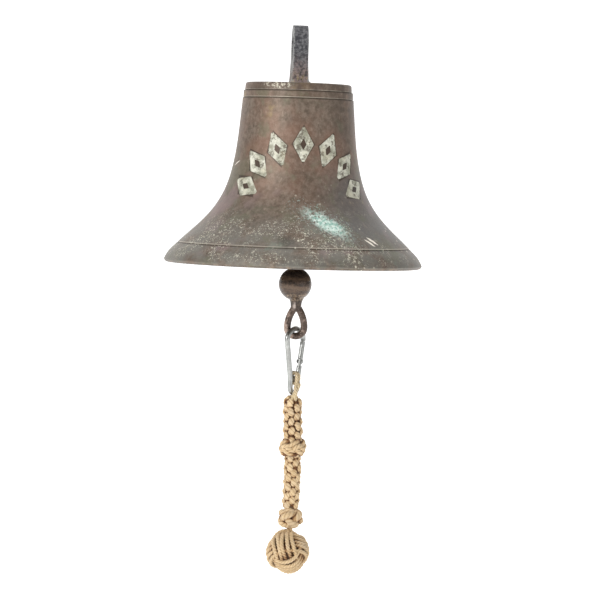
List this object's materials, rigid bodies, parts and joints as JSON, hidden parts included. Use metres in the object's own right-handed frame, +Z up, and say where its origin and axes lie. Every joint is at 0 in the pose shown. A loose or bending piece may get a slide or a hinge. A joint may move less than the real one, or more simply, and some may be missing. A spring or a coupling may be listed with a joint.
{
  "type": "ship bell",
  "caption": "Ship bell of patinated bronze with a cast lug, swinging clapper, snap hook and a plaited bell rope that ends in a round knot.",
  "frame": {"origin": "centre of the eye through the bell's lug, where it hangs", "axes": "+Z up along the bell's axis, +X along the bore of the lug's eye, -Y is the front, which carries the ornament"},
  "size_m": [0.2999, 0.3, 0.6374],
  "materials": {
    "bronze": "weathered patina",
    "inlay": "chalky, chipped",
    "iron": "dull, rusted",
    "pin_brass": "tarnished",
    "clapper_bronze": "dark patina",
    "galvanised_steel": "bright zinc",
    "spring_steel": "oiled",
    "cord": "natural fibre",
    "core_wood": "plain"
  },
  "bodies": {
    "bell": {"bell_casting": "bronze", "ornament_inlays": "inlay", "crown_eye_bolt": "iron", "crown_washer": "iron", "crown_lock_nut": "iron"},
    "shackle": {"shackle_bow": "iron", "shackle_pin": "iron", "split_pin": "pin_brass"},
    "clapper": {"clapper": "clapper_bronze"},
    "snap_hook": {"hook_frame": "galvanised_steel", "gate_rivet": "galvanised_steel", "rope_eye": "cord"},
    "gate": {"hook_gate": "galvanised_steel", "gate_spring": "spring_steel", "gate_plunger": "spring_steel"},
    "bell_rope": {"sinnet_upper": "cord", "turks_head": "cord", "sinnet_lower": "cord", "lower_knot": "cord", "neck_cord": "cord"},
    "fist": {"monkeys_fist": "cord", "fist_core": "core_wood"}
  },
  "joints": [
    {"name": "shackle_rock", "type": "hinge", "parent": "bell", "child": "shackle", "pos_m": [0.0036, 0, -0.1045], "axis": [1, 0, 0], "range_deg": [-5, 5]},
    {"name": "clapper_swing", "type": "hinge", "parent": "shackle", "child": "clapper", "pos_m": [0.0036, 0, -0.1265], "axis": [0, 1, 0], "range_deg": [-37.5, 39.5]},
    {"name": "hook_swing", "type": "hinge", "parent": "clapper", "child": "snap_hook", "pos_m": [0.0058, 0, -0.327], "axis": [0, 1, 0], "range_deg": [-35, 35]},
    {"name": "gate_open", "type": "hinge", "parent": "snap_hook", "child": "gate", "pos_m": [0.0129, 0.01093, -0.36545], "axis": [0.8387, -0.5446, 0], "range_deg": [0, 26], "stiffness_Nm_per_rad": 0.05},
    {"name": "rope_bend", "type": "hinge", "parent": "snap_hook", "child": "bell_rope", "pos_m": [0.0046, -0.002, -0.406], "axis": [0.5446, 0.8387, 0], "range_deg": [-25, 25]},
    {"name": "fist_swing", "type": "hinge", "parent": "bell_rope", "child": "fist", "pos_m": [0.0069, -0.002, -0.5619], "axis": [0, 1, 0], "range_deg": [-25, 25]}
  ]
}
